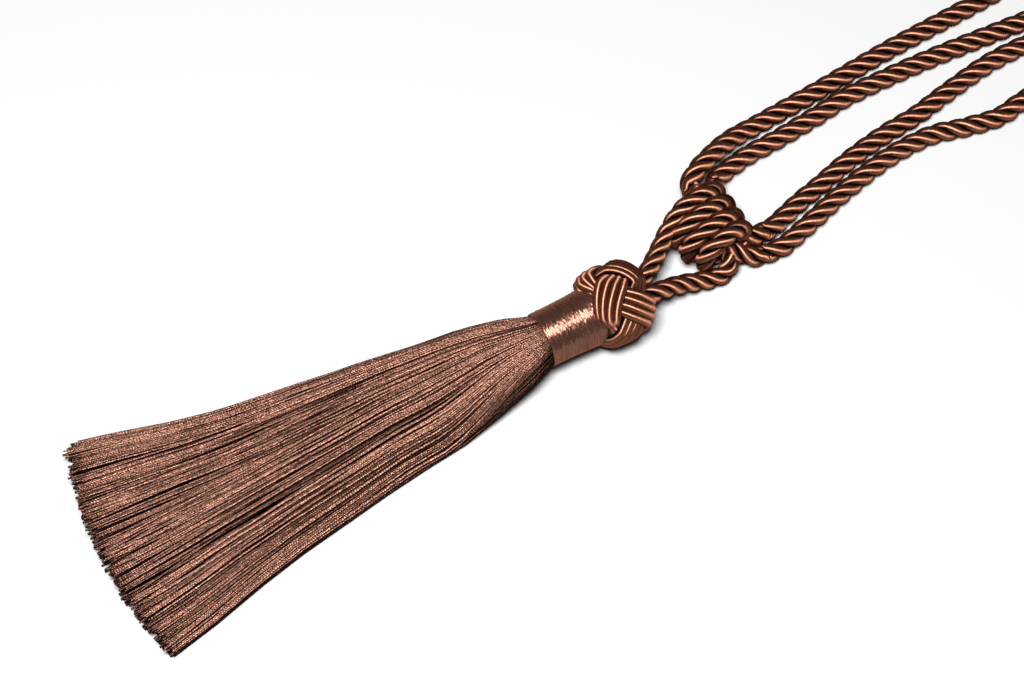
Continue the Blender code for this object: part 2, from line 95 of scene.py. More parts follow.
SKIRT_LENGTH = 0.2099
SETTLED_AT = 0.060  # distance from the neck where the skirt lies flat on the table
END_BOW = 0.0094  # how much shorter the yarns at the two sides are
END_SLANT = 0.0025  # and how much shorter on the left than in the middle
RAGGED = 0.0025
SIDE_HEIGHT = 0.0048
SKIRT_DRIFT = (  # mm: distance from the neck, how far the skirt's middle lies to the left
    (0, -0.5),
    (8, -0.3),
    (16, 0.6),
    (26, 1.9),
    (45, 3.2),
    (75, 4.4),
    (105, 4.0),
    (145, 3.5),
    (185, 4.0),
    (213, 4.6),
)
SKIRT_SHAPE = (  # mm: distance from the neck, half width, height at the middle
    (0, 11.0, 22.0),
    (6, 15.2, 24.6),
    (15, 18.4, 25.4),
    (27, 22.0, 25.2),
    (39, 25.0, 24.4),
    (60, 28.7, 22.2),
    (80, 30.8, 20.8),
    (99, 34.0, 19.4),
    (135, 39.4, 17.2),
    (159, 44.8, 16.0),
    (183, 51.6, 15.0),
    (213, 58.4, 13.6),
)

KNOT_TURNS = 4
KNOT_FIRST_Y = 0.0250
KNOT_TURN_PITCH = 0.0078
KNOT_TURN_LEAN = 0.0076  # each turn's far side lies this much nearer the upper arm
KNOT_HALF_HEIGHT = 0.0086
KNOT_Z = 0.0124  # height of the knot's middle over the table
KNOT_FAR_X = 0.0697
KNOT_NEAR_X = (0.0432, 0.0422, 0.0424, 0.0465, 0.0505)  # the near side of each turn
KNOT_POINTS_A_TURN = 12
FIRST_TURN_FROM = 0.125  # share of a turn where the upper leg joins
LAST_TURN_TO = 3.80

# Routes of the rope's centre line, in mm: x, y, z.
LEG_UPPER = (
    (10.0, 2.0, 16.4),
    (18.0, 5.5, 16.2),
    (26.0, 11.1, 15.2),
    (33.0, 16.6, 14.4),
    (39.5, 21.4, 15.2),
)
LEG_LOWER = (
    (9.0, -3.0, 16.0),
    (17.0, -3.2, 15.0),
    (25.0, -2.5, 12.4),
    (33.4, -2.5, 9.2),
    (41.6, -3.7, 6.6),
    (49.5, -4.8, 4.9),
    (56.0, -3.8, 5.2),
    (59.2, 0.6, 7.6),
    (59.4, 6.0, 10.4),
    (58.0, 12.0, 12.6),
)
THROUGH_NEAR = (
    (60.2, 36.0, 11.6),
    (58.6, 31.0, 12.4),
    (55.6, 25.0, 12.6),
    (54.5, 17.0, 12.6),
    (56.6, 9.0, 12.0),
    (61.0, 3.0, 9.8),
    (65.6, -1.6, 7.0),
    (70.2, -4.2, 5.4),
    (74.2, -4.7, 5.2),
)
THROUGH_FAR = (
    (72.6, 36.2, 7.9),
    (68.4, 31.0, 10.6),
    (64.0, 24.5, 12.4),
    (62.6, 17.0, 12.6),
    (65.0, 9.5, 12.4),
    (70.5, 4.4, 10.8),
    (75.0, 3.4, 9.2),
    (78.8, 3.9, 8.2),
)
ARM_UPPER = (
    (68.2, 44.4, 12.0),
    (76.0, 47.8, 11.4),
    (85.6, 51.7, 9.4),
    (94.6, 54.2, 7.3),
    (102.7, 55.3, 5.8),
    (111.5, 56.4, 4.8),
    (124.0, 57.4, 4.6),
    (145.4, 59.0, 4.6),
    (182.3, 62.3, 4.6),
    (232.4, 64.9, 4.6),
    (280.0, 68.6, 4.6),
    (330.0, 73.0, 4.6),
    (366.0, 75.2, 4.6),
    (387.0, 71.5, 4.6),
    (397.0, 56.8, 4.6),
    (387.0, 42.0, 4.6),
    (366.0, 38.6, 4.6),
    (330.0, 39.8, 4.6),
    (285.0, 43.0, 4.6),
    (244.4, 45.4, 4.6),
    (195.4, 48.8, 4.6),
    (153.5, 49.5, 4.6),
    (133.5, 47.2, 4.6),
    (109.6, 44.9, 4.6),
    (96.0, 44.2, 4.7),
    (85.0, 42.1, 5.2),
)
ARM_LOWER = (
    (88.5, 6.5, 5.7),
    (96.0, 9.3, 4.8),
    (104.0, 11.8, 4.6),
    (114.0, 14.2, 4.6),
    (134.8, 19.8, 4.6),
    (155.0, 23.5, 4.6),
    (173.0, 25.3, 4.6),
    (193.0, 29.3, 4.6),
    (218.0, 33.5, 4.6),
    (240.0, 33.9, 4.6),
    (270.0, 32.4, 4.6),
    (310.0, 28.4, 4.6),
    (345.0, 25.6, 4.6),
    (368.0, 23.6, 4.6),
    (385.0, 17.4, 4.6),
    (391.5, 5.6, 4.6),
    (384.0, -7.2, 4.6),
    (366.0, -12.6, 4.6),
    (338.0, -9.2, 4.6),
    (300.0, -1.8, 4.6),
    (262.0, 5.6, 4.6),
    (238.0, 8.8, 4.6),
    (221.0, 8.6, 4.6),
    (205.7, 6.3, 4.6),
    (189.0, 9.1, 4.6),
    (172.1, 13.0, 4.6),
    (148.4, 12.0, 4.6),
    (122.1, 6.2, 4.6),
    (103.8, 0.6, 4.6),
    (91.0, -3.2, 4.6),
    (84.5, -5.0, 4.65),
)

# ---- camera ------------------------------------------------------------------------------------------

VIEW_FORWARD = Vector((0.486, 0.874, 0.0)).normalized()
VIEW_ELEVATION = math.radians(60.0)
VIEW_DISTANCE = 1.5
VIEW_TARGET = Vector((-0.0443, 0.0130, 0.0))
LENS = 119.9
SENSOR = 36.0


def link(thing):
    bpy.context.scene.collection.objects.link(thing)
    return thing


def build_camera():
    data = bpy.data.cameras.new("camera")
    data.sensor_width = SENSOR
    data.lens = LENS
    data.clip_start = 0.05
    camera = link(bpy.data.objects.new("camera", data))
    look = VIEW_FORWARD * math.cos(VIEW_ELEVATION) + Vector((0, 0, -math.sin(VIEW_ELEVATION)))
    camera.location = VIEW_TARGET - look * VIEW_DISTANCE
    camera.rotation_euler = look.to_track_quat("-Z", "Y").to_euler()
    bpy.context.scene.camera = camera


build_camera()

# ---- lines and tubes ---------------------------------------------------------------------------------

POINTS_A_SPAN = 24


def unit(rows):
    return rows / np.maximum(np.linalg.norm(rows, axis=-1, keepdims=True), 1e-12)


def metres(rows):
    return [np.array(row) * MM for row in rows]


def reach_of(line):
    """Distance along a line at each of its points."""
    return np.concatenate([[0.0], np.cumsum(np.linalg.norm(np.diff(line, axis=0), axis=1))])


def smooth_line(points, step):
    """Evenly spaced points on the Catmull-Rom curve through the given ones."""
    p = np.asarray(points, float)
    p = np.vstack([2 * p[0] - p[1], p, 2 * p[-1] - p[-2]])
    t = np.linspace(0.0, 1.0, POINTS_A_SPAN, endpoint=False)[:, None]
    spans = []
    for a, b, c, d in zip(p, p[1:], p[2:], p[3:]):
        square, cube = 2 * a - 5 * b + 4 * c - d, 3 * b - a - 3 * c + d
        spans.append(0.5 * (2 * b + (c - a) * t + square * t**2 + cube * t**3))
    fine = np.vstack([*spans, p[-2:-1]])
    reach = reach_of(fine)
    count = max(2, round(reach[-1] / step))
    wanted = np.linspace(0.0, reach[-1], count + 1)
    return np.stack([np.interp(wanted, reach, fine[:, k]) for k in range(3)], axis=1)


def tangents(line, closed=False):
    if closed:
        return unit(np.roll(line, -1, axis=0) - np.roll(line, 1, axis=0))
    return unit(np.gradient(line, axis=0))


def carried_normals(line):
    """A normal at each point that doesn't turn about the line more than it has to."""
    along = tangents(line)
    normal = np.cross(along[0], (0.0, 0.0, 1.0))
    normals = []
    for t in along:
        normal = normal - t * (normal @ t)
        normal = normal / np.linalg.norm(normal)
        normals.append(normal)
    return np.array(normals)


class Skin:
    """Gathers tubes into one mesh.

    The UV map holds the places along a tube and round it, in metres.  Tone is given with the tube; the
    yarn colour paints shade on deep yarns with it.
    Crest is the cosine of the angle round it: 1 on the tube's outer side and -1 on its inner one; the
    materials paint shade towards the grooves with it.
    """

    def __init__(self):
        self.points, self.faces, self.uvs, self.caps = [], [], [], []
        self.tones, self.crests = [], []
        self.count = 0

    def sleeve(self, rings, u, v, closed=False):
        """Faces over rings of points; u holds the places along the tube and v the places round it."""
        rows, corners, _ = rings.shape
        spans = rows if closed else rows - 1
        i = np.arange(spans)[:, None]
        j = np.arange(corners)[None, :]
        here, there, beside = i * corners, (i + 1) % rows * corners, (j + 1) % corners
        quads = np.stack([here + j, here + beside, there + beside, there + j], axis=-1)
        self.faces.extend((quads.reshape(-1, 4) + self.count).tolist())
        places = [
            np.stack(np.broadcast_arrays(u[a : a + spans, None], v[None, b : b + corners]), axis=-1)
            for a, b in ((0, 0), (0, 1), (1, 1), (1, 0))
        ]
        self.uvs.append(np.stack(places, axis=2).reshape(-1, 2))
        if not closed:
            first = list(range(self.count, self.count + corners))
            last = [point + (rows - 1) * corners for point in first]
            self.caps += [len(self.faces), len(self.faces) + 1]
            self.faces += [first[::-1], last]
            self.uvs.append(np.zeros((2 * corners, 2)))
        self.points.append(rings.reshape(-1, 3))
        self.count += rows * corners

    def tube(self, line, out, width, height, corners, closed=False, tone=0.5, along=None):
        """A tube along a line; out is the direction of its first corner, width and height its radii."""
        if along is None:
            along = tangents(line, closed)
        out = unit(out - along * np.sum(out * along, axis=1, keepdims=True))
        side = np.cross(along, out)
        n = len(line)
        width = np.broadcast_to(width, (n,))[:, None, None]
        height = np.broadcast_to(height, (n,))[:, None, None]
        turn = math.tau * np.arange(corners) / corners
        cosine, sine = np.cos(turn)[None, :, None], np.sin(turn)[None, :, None]
        ring = cosine * out[:, None, :] * height + sine * side[:, None, :] * width
        reach = reach_of(np.vstack([line, line[:1]]) if closed else line)
        girth = math.tau * float(np.mean(width)) / corners
        self.sleeve(line[:, None, :] + ring, reach, girth * np.arange(corners + 1), closed)
        self.tones.append(np.repeat(np.broadcast_to(tone, (n,)), corners))
        self.crests.append(np.tile(np.cos(turn), n))

    def piece(self, name, finish, slot):
        mesh = bpy.data.meshes.new(name)
        points = np.vstack(self.points)
        points[:, 2] = np.maximum(points[:, 2], 0.0)  # the table presses it flat
        mesh.from_pydata(points.tolist(), [], self.faces)
        mesh.uv_layers.new(name="UVMap")
        mesh.uv_layers["UVMap"].data.foreach_set("uv", np.vstack(self.uvs).astype(np.float32).ravel())
        for label, values in (("tone", self.tones), ("crest", self.crests)):
            if values:
                layer = mesh.attributes.new(label, "FLOAT", "POINT")
                layer.data.foreach_set("value", np.concatenate(values).astype(np.float32))
        mesh.shade_smooth()
        for cap in self.caps:
            mesh.polygons[cap].use_smooth = False
        mesh.materials.append(finish)
        made = link(bpy.data.objects.new(name, mesh))
        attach(made, "root")
        return made


# ---- materials ---------------------------------------------------------------------------------------

# Each pair is the colour of painted shade in a groove and the colour of painted light on a lit crest.
SILK = ((0.008, 0.0030, 0.0018, 1.0), (0.290, 0.121, 0.073, 1.0))
YARN_PAINTED_SHADE_AND_LIGHT = ((0.006, 0.0016, 0.0008, 1.0), (0.490, 0.240, 0.170, 1.0))
THREAD_PAINTED_GROOVE_SHADE_AND_MOTTLE = ((0.022, 0.010, 0.007, 1.0), (0.270, 0.125, 0.088, 1.0))

# The tints keep the rims brown where they mirror the floor.
SILK_RIM = (0.42, 0.26, 0.19, 1.0)
YARN_RIM = (0.6, 0.30, 0.20, 1.0)
THREAD_RIM = (0.85, 0.56, 0.44, 1.0)

FINE_THREAD = 0.00042  # width of one turn of the thread round a cord or the neck
THREAD_RELIEF = 0.00001
STRAY_RELIEF = 0.00002
GROOVE_RELIEF = -0.00003  # less than zero: where the pattern is high, the thread lies deeper
ASKEW_RELIEF = -0.00070
YARN_RELIEF = 0.00035
PLY_LENGTH = 0.0012  # the plies of a yarn repeat after this length along it
PLY_GIRTH = 0.0022  # and this length round it


class Nodes:
    """A short way to write a material's nodes."""

    def __init__(self, name):
        self.material = bpy.data.materials.new(name)
        self.material.use_nodes = True
        self.tree = self.material.node_tree
        self.shader = self.tree.nodes["Principled BSDF"]

    def add(self, kind, **settings):
        node = self.tree.nodes.new(kind)
        for key, value in settings.items():
            setattr(node, key, value)
        return node

    def put(self, value, socket):
        if isinstance(value, bpy.types.NodeSocket):
            self.tree.links.new(value, socket)
        else:
            socket.default_value = value

    def math(self, operation, a, b=0.0, clamp=False):
        node = self.add("ShaderNodeMath", operation=operation, use_clamp=clamp)
        self.put(a, node.inputs[0])
        self.put(b, node.inputs[1])
        return node.outputs[0]

    def plus(self, a, b, clamp=False):
        return self.math("ADD", a, b, clamp)

    def times(self, a, b, clamp=False):
        return self.math("MULTIPLY", a, b, clamp)

    def uv(self):
        node = self.add("ShaderNodeUVMap", uv_map="UVMap")
        parts = self.add("ShaderNodeSeparateXYZ")
        self.put(node.outputs["UV"], parts.inputs[0])
        return parts.outputs[0], parts.outputs[1]

    def grain(self, u, v, along, around, deep=0.0, detail=2.0, roughness=0.5):
        """Noise with so many cells a metre along the tube and round it."""
        place = self.add("ShaderNodeCombineXYZ")
        for value, socket in zip((self.times(u, along), self.times(v, around), deep), place.inputs):
            self.put(value, socket)
        node = self.add("ShaderNodeTexNoise")
        node.inputs["Scale"].default_value = 1.0
        node.inputs["Detail"].default_value = detail
        node.inputs["Roughness"].default_value = roughness
        self.put(place.outputs[0], node.inputs["Vector"])
        return node.outputs["Fac"]

    def attribute(self, name):
        return self.add("ShaderNodeAttribute", attribute_name=name).outputs["Fac"]

    def painted_shade_factor(self, gain, shift):
        """1 on the outer side of a tube, falling to 0 towards the groove beside it: the factor for painted
        shade in the groove.
        """
        return self.plus(self.times(self.attribute("crest"), gain), shift, clamp=True)

    def colour(self, share, shades):
        node = self.add("ShaderNodeMix", data_type="RGBA")
        for value, socket in zip((share, *shades), (node.inputs[0], node.inputs[6], node.inputs[7])):
            self.put(value, socket)
        self.put(node.outputs[2], self.shader.inputs["Base Color"])

    def bump(self, height, distance=1.0):
        node = self.add("ShaderNodeBump")
        node.inputs["Strength"].default_value = 1.0
        node.inputs["Distance"].default_value = distance
        self.put(height, node.inputs["Height"])
        self.put(node.outputs["Normal"], self.shader.inputs["Normal"])

    def gloss_along(self):
        """The thread runs round the tube, so the gloss spreads along it."""
        node = self.add("ShaderNodeTangent", direction_type="UV_MAP", uv_map="UVMap")
        self.put(node.outputs["Tangent"], self.shader.inputs["Tangent"])

    def set(self, **values):
        for key, value in values.items():
            self.shader.inputs[key.replace("_", " ")].default_value = value


def wrapped_cord(name):
    """Cord wound with fine silky thread."""
    n = Nodes(name)
    u, v = n.uv()
    worn = n.grain(u, v, 900.0, 160.0, detail=3.0)
    slow = n.grain(u, v, 160.0, 90.0)
    turns = n.plus(n.math("DIVIDE", u, FINE_THREAD), n.times(slow, 1.2))
    wave = n.math("SINE", n.times(turns, math.tau))
    stray = n.grain(u, v, 2400.0, 300.0, detail=1.0)
    # Painted shade and light: the colour darkens towards the grooves between strands and cords and
    # lightens on their crests; worn adds tone that differs at random.
    n.colour(n.times(n.plus(worn, 0.25), n.painted_shade_factor(1.45, -0.18)), SILK)
    n.bump(n.plus(n.times(wave, THREAD_RELIEF), n.times(stray, STRAY_RELIEF)))
    n.gloss_along()
    n.set(Metallic=0.96, Roughness=0.49, Anisotropic=0.93, Specular_Tint=SILK_RIM)
    return n.material


def yarn_material():
    """Loosely twisted yarn with painted light and shade; tone says how deep a yarn lies, 0 for the buried
    ones up to 1 on top, and paints the deeper ones darker as shade.
    """
    n = Nodes("skirt_yarn")
    u, v = n.uv()
    tone = n.attribute("tone")
    place = n.times(tone, 37.0)  # sets each yarn's pattern apart from the next one's
    twist = n.plus(n.math("DIVIDE", u, PLY_LENGTH), n.math("DIVIDE", v, PLY_GIRTH))
    ply = n.math("ABSOLUTE", n.math("SINE", n.times(n.plus(twist, place), math.pi)))
    fibre = n.grain(u, v, 1000.0, 1500.0, deep=place, roughness=0.7)
    # Painted glints: the brightest fibre noise and the plies are painted as highlights.
    painted_glint = n.times(n.math("SUBTRACT", fibre, 0.40), 4.2, clamp=True)
    lit = n.plus(n.times(ply, 0.15), n.times(painted_glint, 0.95))
    # Painted shade on the flanks turned away from the crest, and on the deep yarns through tone.
    share = n.times(n.times(lit, n.painted_shade_factor(3.3, -1.95)), n.plus(tone, 0.03), clamp=True)
    n.colour(share, YARN_PAINTED_SHADE_AND_LIGHT)
    n.bump(n.plus(n.times(ply, 0.4), fibre), YARN_RELIEF)
    n.set(Metallic=0.75, Roughness=0.42, Specular_IOR_Level=0.15, Specular_Tint=YARN_RIM)
    return n.material


def thread_material():
    """Fine thread wound round the neck: each turn lies a little askew, so the gloss is ragged."""
    n = Nodes("binding_thread")
    u, v = n.uv()
    turns = n.times(u, 1.0 / FINE_THREAD)
    askew = n.grain(n.math("FLOOR", turns), v, 0.83, 260.0, detail=1.0)
    groove = n.math("ABSOLUTE", n.math("SINE", n.times(turns, math.pi)))
    wide = n.grain(u, v, 700.0, 60.0)
    # Painted shade between the thread's turns, with wide mottling that differs at random.
    n.colour(n.times(n.plus(n.times(groove, 0.6), wide), 0.8, clamp=True), THREAD_PAINTED_GROOVE_SHADE_AND_MOTTLE)
    n.bump(n.plus(n.times(askew, ASKEW_RELIEF), n.times(groove, GROOVE_RELIEF)))
    n.gloss_along()
    n.set(Metallic=0.92, Roughness=0.43, Anisotropic=0.90, Specular_Tint=THREAD_RIM)
    return n.material


ROPE = wrapped_cord("rope")
BALL_CORD = wrapped_cord("ball_cord")
YARN = yarn_material()
THREAD = thread_material()

# ---- rope --------------------------------------------------------------------------------------------


def add_rope(skin, route, diameter=ROPE_DIAMETER, keep=slice(None)):
    """Three strands laid right-handed round the route; keep picks the stretch that is skinned."""
    pitch = ROPE_PITCH * (diameter / ROPE_DIAMETER)
    strand = STRAND_RADIUS * diameter
    lay = diameter / 2 - strand
    normal = carried_normals(route)
    binormal = np.cross(tangents(route), normal)
    reach = reach_of(route)
    for k in range(STRANDS):
        angle = (math.tau * (reach / pitch + k / STRANDS))[:, None]
        out = np.cos(angle) * normal + np.sin(angle) * binormal
        line = route + out * lay
        along = tangents(line)
        skin.tube(line[keep], out[keep], strand * STRAND_SPREAD, strand, ROPE_CORNERS, along=along[keep])


def lead(route):
    """The point before a route's first one, where an arm starts to bend."""
    first, second = metres(route[:2])
    return first + unit(first - second) * ARM_LEAD


def build_doubled_rope():
    """The ring of rope: through the knot, out as the upper loop, back through, out as the lower one.

    Returns the two loops, each with its route.
    """
    near, far = metres(THROUGH_NEAR), metres(THROUGH_FAR)
    upper = [lead(THROUGH_NEAR), *metres(ARM_UPPER), lead(THROUGH_FAR)]
    lower = [lead(THROUGH_FAR[::-1]), *metres(ARM_LOWER), lead(THROUGH_NEAR[::-1])]
    middle = len(near) // 2
    ring = [*near[:middle][::-1], *upper, *far, *lower, *near[middle:][::-1]]
    route = smooth_line(ring, ROUTE_STEP)

    def nearest(point):
        return int(np.argmin(np.linalg.norm(route - point, axis=1)))

    marks = [nearest(point) for point in (near[0], far[0], far[-1], near[-1])]
    loops = {}
    for name, first, last in (("rope_loop_upper", *marks[:2]), ("rope_loop_lower", *marks[2:])):
        skin = Skin()
        add_rope(skin, route, keep=slice(first, last + 1))
        loops[name] = (skin.piece(name, ROPE, "rope"), route[first : last + 1])
    skin = Skin()
    for first, last in ((0, marks[0]), (marks[1], marks[2]), (marks[3], len(route) - 1)):
        add_rope(skin, route, keep=slice(first, last + 1))
    skin.piece("rope_through_knot", ROPE, "rope")
    return loops


loops = build_doubled_rope()
for name, node in (("rope_loop_upper", "arm_upper"), ("rope_loop_lower", "arm_lower")):
    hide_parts(node)


def knot_turn(turn):
    """The rope's centre after so many turns round the doubled rope."""
    angle = math.pi - math.tau * turn
    whole = min(int(turn), KNOT_TURNS - 1)
    near = KNOT_NEAR_X[whole] + (turn - whole) * (KNOT_NEAR_X[whole + 1] - KNOT_NEAR_X[whole])
    middle, half = (KNOT_FAR_X + near) / 2, (KNOT_FAR_X - near) / 2
    lean = KNOT_TURN_LEAN * (1.0 + math.cos(angle)) / 2
    x = middle + half * math.cos(angle)
    y = KNOT_FIRST_Y - KNOT_TURN_PITCH * turn + lean
    return np.array((x, y, KNOT_Z + KNOT_HALF_HEIGHT * math.sin(angle)))


def build_slip_knot():
    turns = np.arange(FIRST_TURN_FROM, LAST_TURN_TO + 0.001, 1.0 / KNOT_POINTS_A_TURN)
    upper = [*metres(LEG_UPPER), *[knot_turn(turn) for turn in turns]]
    skin = Skin()
    for points in (upper, metres(LEG_LOWER)):
        add_rope(skin, smooth_line(points, ROUTE_STEP), KNOT_ROPE_DIAMETER)
    return skin.piece("rope_slip_knot", ROPE, "rope")


slip_knot = build_slip_knot()
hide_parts("slip_knot")

# ---- woven ball --------------------------------------------------------------------------------------

OUTLINE_STEPS = 60  # from the ball's equator to either end
SLOPE_STEP = 0.0008
SMALLEST_RADIUS = 0.0002
CORE_FULLNESS = 0.7


def ball_outline():
    """Rows of distance along the surface from the equator, place along the axis, and radius."""
    points = []
    for i in range(-OUTLINE_STEPS, OUTLINE_STEPS + 1):
        angle = math.pi / 2 * i / OUTLINE_STEPS
        power = 2.0 / (NECK_SIDE_FULLNESS if i < 0 else LEG_SIDE_FULLNESS)
        x = math.copysign(BALL_HALF_LENGTH * abs(math.sin(angle)) ** power, angle)
        points.append((x, BALL_RADIUS * max(0.0, math.cos(angle)) ** power))
    points = np.array(points)
    reach = reach_of(points)
    return np.column_stack([reach - reach[OUTLINE_STEPS], points])


OUTLINE = ball_outline()


def outline_at(along, column):
    return np.interp(along, OUTLINE[:, 0], OUTLINE[:, column])


def on_ball(along, angle, lift):
    """Points on the ball at a distance along its outline and an angle round it, and the normals there."""
    slope_x = outline_at(along + SLOPE_STEP, 1) - outline_at(along - SLOPE_STEP, 1)
    slope_r = outline_at(along + SLOPE_STEP, 2) - outline_at(along - SLOPE_STEP, 2)
    size = np.hypot(slope_x, slope_r)
    normal_x, normal_r = -slope_r / size, slope_x / size
    x = outline_at(along, 1) + lift * normal_x
    radius = np.maximum(SMALLEST_RADIUS, outline_at(along, 2) + lift * normal_r)
    y, z = radius * np.cos(angle), radius * np.sin(angle)
    place = np.stack([BALL_CENTRE_X + x, BALL_CENTRE_Y + y, BALL_CENTRE_Z + z], axis=-1)
    normal = np.stack([normal_x, normal_r * np.cos(angle), normal_r * np.sin(angle)], axis=-1)
    return place, normal


def add_band(skin):
    """The band swings from end to end as it goes round, and dives under itself at every other crossing."""
    t = math.tau * np.arange(BAND_POINTS) / BAND_POINTS
    swing = BAND_BIGHTS * t
    angle = BAND_TRIPS * t + BAND_PHASE
    along = BAND_SWING * np.sin(swing)
    radius = outline_at(along, 2)
    rate_along = BAND_SWING * BAND_BIGHTS * np.cos(swing)
    rate_round = BAND_TRIPS * radius
    rate = np.hypot(rate_along, rate_round)
    over = np.clip(2.0 * np.sin(2.0 * swing), -1.0, 1.0)
    sink = BAND_THICKNESS * BAND_SINK * (over - 1.0)
    for k in range(BAND_CORDS):
        across = (k - (BAND_CORDS - 1) / 2) * BAND_CORD_PITCH
        place = along + across * rate_round / rate
        there = np.maximum(0.004, outline_at(place, 2))
        turn = angle - across * rate_along / rate / (0.5 * (there + radius))
        line, out = on_ball(place, turn, sink - BAND_CORD_RADIUS)
        skin.tube(line, out, BAND_CORD_RADIUS, BAND_CORD_RADIUS, ROPE_CORNERS, closed=True)


def add_core(skin):
    angles = np.linspace(0.04, math.pi - 0.04, 30)
    x = BALL_CENTRE_X - np.cos(angles) * (BALL_HALF_LENGTH - CORE_SHORTER)
    line = np.column_stack([x, np.full_like(x, BALL_CENTRE_Y), np.full_like(x, BALL_CENTRE_Z)])
    radius = (BALL_RADIUS - CORE_THINNER) * np.sin(angles) ** CORE_FULLNESS
    # The core's crest faces up, so the cord colour paints its top lit and its underside in shade.
    skin.tube(line, np.array((0.0, 0.0, 1.0)), radius, radius, 32)


def build_ball():
    skin = Skin()
    add_band(skin)
    add_core(skin)
    return skin.piece("ball_woven_cord", BALL_CORD, "ball_cord")


ball = build_ball()
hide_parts("head_knot")

# ---- neck --------------------------------------------------------------------------------------------


def build_neck():
    """Fine thread wound round the neck: each turn is a ridge, and lies a little unevenly."""
    rng = np.random.default_rng(3)
    length = NECK_END_X - GAP - SKIRT_END_X
    shares, radii = np.array(NECK_PROFILE).T
    count = THREAD_TURNS * RINGS_A_TURN + 1
    share = np.linspace(0.0, 1.0, count)
    ridge = np.abs(np.sin(math.pi * share * THREAD_TURNS)) ** 0.8
    radius = np.interp(share, shares, radii) * MM - THREAD_INSET + THREAD_RIDGE * ridge
    radius += np.repeat(rng.normal(0.0, 0.00004, THREAD_TURNS + 1), RINGS_A_TURN)[:count]
    turn = math.tau * np.arange(NECK_CORNERS) / NECK_CORNERS
    wind = 40.0 * share[:, None]
    sway = sum(
        rng.uniform(0.00004, 0.00012) * np.sin(k * turn[None, :] + wind * k + rng.uniform(0, 6))
        for k in (1, 2, 3, 5)
    )
    x = SKIRT_END_X + share[:, None] * length + sway * np.sin(math.pi * share)[:, None] ** 0.4
    y, z = radius[:, None] * np.cos(turn), radius[:, None] * np.sin(turn)
    skin = Skin()
    around = NECK_GIRTH * np.arange(NECK_CORNERS + 1) / NECK_CORNERS
    skin.sleeve(np.stack([x, NECK_Y + y, AXIS_Z + z], axis=-1), share * length, around)
    skin.caps.clear()  # smooth shading rounds the two ends
    return skin.piece("neck_thread", THREAD, "binding_thread")


neck = build_neck()
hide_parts("neck_binding")

# ---- skirt -------------------------------------------------------------------------------------------

SHAPE = np.array(SKIRT_SHAPE, float)
DRIFT = np.array(SKIRT_DRIFT, float)
YARN_RADIUS = 0.00049
YARN_ROOT = 0.003  # a yarn starts this far inside the neck
YARN_OUT = np.array((0.0, -0.21, 1.0))  # a yarn's crest faces up and towards the viewer and the softbox; there it is painted lit, and its flanks are painted in shade
LOOSE_AT = 0.16  # distance from the neck where a yarn is free to waver
CLUMPED_AT = 0.07
FULL_AT = 0.05  # and where it has its full thickness
A_TURN = 6.28
SIDE_WAVER, SIDE_RATES = 0.003, (18, 45)
RISE_WAVER, RISE_RATES = 0.07, (20, 60)
GROUP_LEAN = 0.12
GROUP_LIFT = 0.05
# Thin dark yarns painted as the shade of the gaps between yarns.
PAINTED_GAP_SHARE, PAINTED_GAP_TONE, PAINTED_GAP_THICKNESS = 0.22, 0.02, 0.62

# Rows of yarn: height in the skirt from -1 to 1, how many lie side by side, tone from and to; lower tones
# paint deeper rows in shade, and each yarn's tone is drawn at random in its range.
BURIED_ROWS = (
    (-1.00, 84, 0.10, 0.45),
    (-0.76, 80, 0.10, 0.45),
    (-0.50, 80, 0.10, 0.45),
    (-0.25, 76, 0.10, 0.40),
    (0.00, 76, 0.10, 0.40),
    (0.22, 72, 0.08, 0.35),
    (0.42, 72, 0.06, 0.30),
)
SURFACE_ROWS = (
    (0.60, 66, 0.02, 0.20),
    (0.73, 66, 0.04, 0.30),
    (0.84, 64, 0.08, 0.55),
    (0.93, 60, 0.30, 0.85),
    (1.00, 56, 0.50, 1.00),
)
CLUMPS = (  # share of the half width, waves across, waves along, phase
    (0.0100, 47.0, 22.0, 0.4),
    (0.0080, 71.0, -27.0, 2.1),
    (0.0050, 113.0, 34.0, 4.0),
    (0.0100, 17.0, 6.0, 1.3),
)


def smooth_step(share):
    share = np.clip(share, 0.0, 1.0)
    return share * share * (3.0 - 2.0 * share)


def skirt_points(distance, across, up, inset):
    """Points of the skirt's body: across and up go from -1 to 1, inset keeps yarns inside it."""
    row = np.maximum(0.0, distance) / MM
    half_width = np.interp(row, SHAPE[:, 0], SHAPE[:, 1]) * MM - inset
    height = np.interp(row, SHAPE[:, 0], SHAPE[:, 2]) * MM - 2 * inset
    settled = smooth_step(distance / SETTLED_AT)
    round_y = half_width * across * np.sqrt(1.0 - up * up / 2.0)
    round_z = AXIS_Z + height / 2.0 * up * np.sqrt(1.0 - across * across / 2.0)
    side = SIDE_HEIGHT - 2 * inset
    dome = side + (height - side) * (1.0 - np.abs(across) ** 2.2)
    flat_y = half_width * across
    flat_z = inset + dome * (up + 1.0) / 2.0
    drift = np.interp(row, DRIFT[:, 0], DRIFT[:, 1]) * MM
    y = round_y + settled * (flat_y - round_y) + drift
    z = round_z + settled * (flat_z - round_z)
    return np.stack([SKIRT_END_X - distance, y, z], axis=-1)


def waver(rng, distance, rates):
    return np.sin(distance * rng.uniform(*rates) + rng.uniform(0, A_TURN))


def clumped(distance, across):
    """How far the yarns here draw together with their neighbours, as a share of the half width."""
    waves = [
        size * np.sin(across * across_rate + distance * along_rate + phase)
        for size, across_rate, along_rate, phase in CLUMPS
    ]
    return sum(waves) * smooth_step(distance / CLUMPED_AT) * (1.0 - across * across)


def shown_tone(tone, share, up):
    """A yarn's tone along it: where the skirt opens, more of a deep yarn shows and its painted shade is
    lifted, and its cut end gets painted light.
    """
    opened = smooth_step((share - 0.35) / 0.65) * max(0.0, up)
    shown = tone + (0.75 - tone) * max(0.0, 0.8 - tone) * opened
    return np.maximum(shown, 0.5 * smooth_step((share - 0.92) / 0.06))


